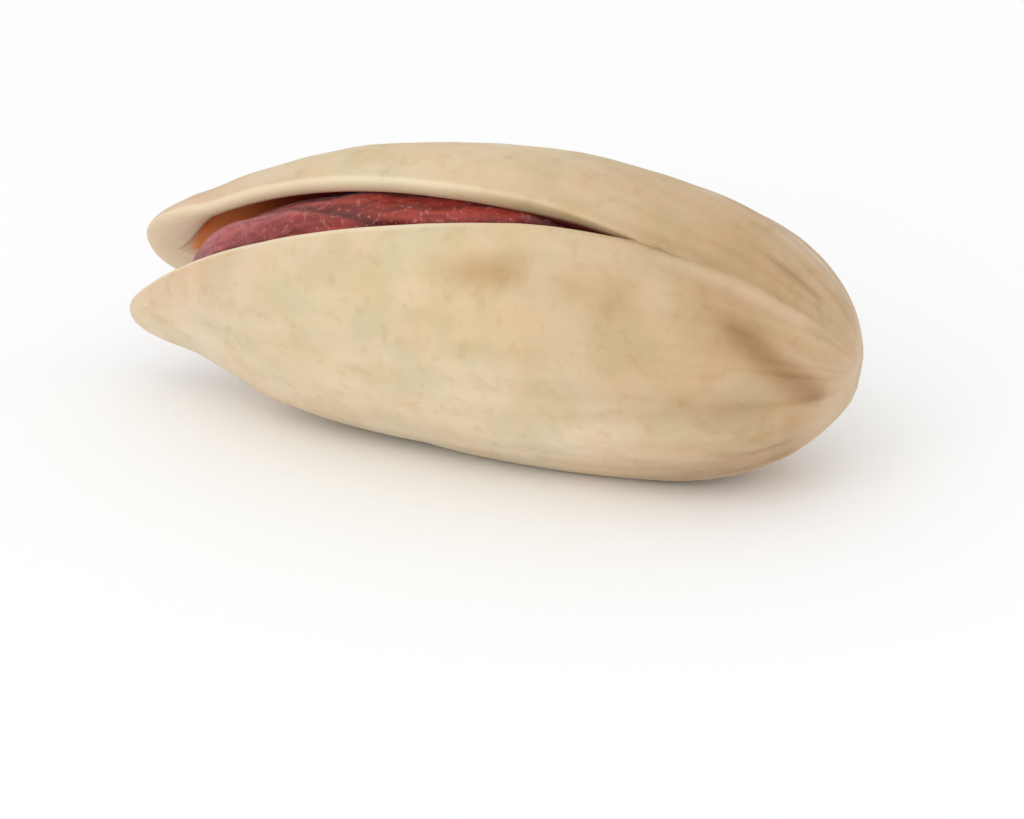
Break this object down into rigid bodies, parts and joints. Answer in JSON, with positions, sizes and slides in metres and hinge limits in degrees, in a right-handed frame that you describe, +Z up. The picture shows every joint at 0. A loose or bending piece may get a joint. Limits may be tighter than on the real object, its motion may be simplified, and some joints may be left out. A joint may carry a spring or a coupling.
{
  "type": "pistachio in shell",
  "caption": "Pistachio nut in its hard shell, lying on its side. The shell's valves are split open from the tip and joined at the stem end, with the loose kernel inside.",
  "frame": {"origin": "on the surface that the nut lies on, under the middle of its bounding box", "axes": "+X along the nut from the open tip to the stem end, +Z up, -Y towards the side that the split leans to"},
  "size_m": [0.022, 0.0092, 0.0092],
  "materials": {
    "shell": "smooth cream to tan nut shell, satin, with faint mottling and brown streaks at the stem end",
    "kernel_skin": "dry wrinkled purple-red seed skin, matt"
  },
  "bodies": {
    "root": {"shell": "shell", "kernel": "kernel_skin"}
  },
  "joints": []
}
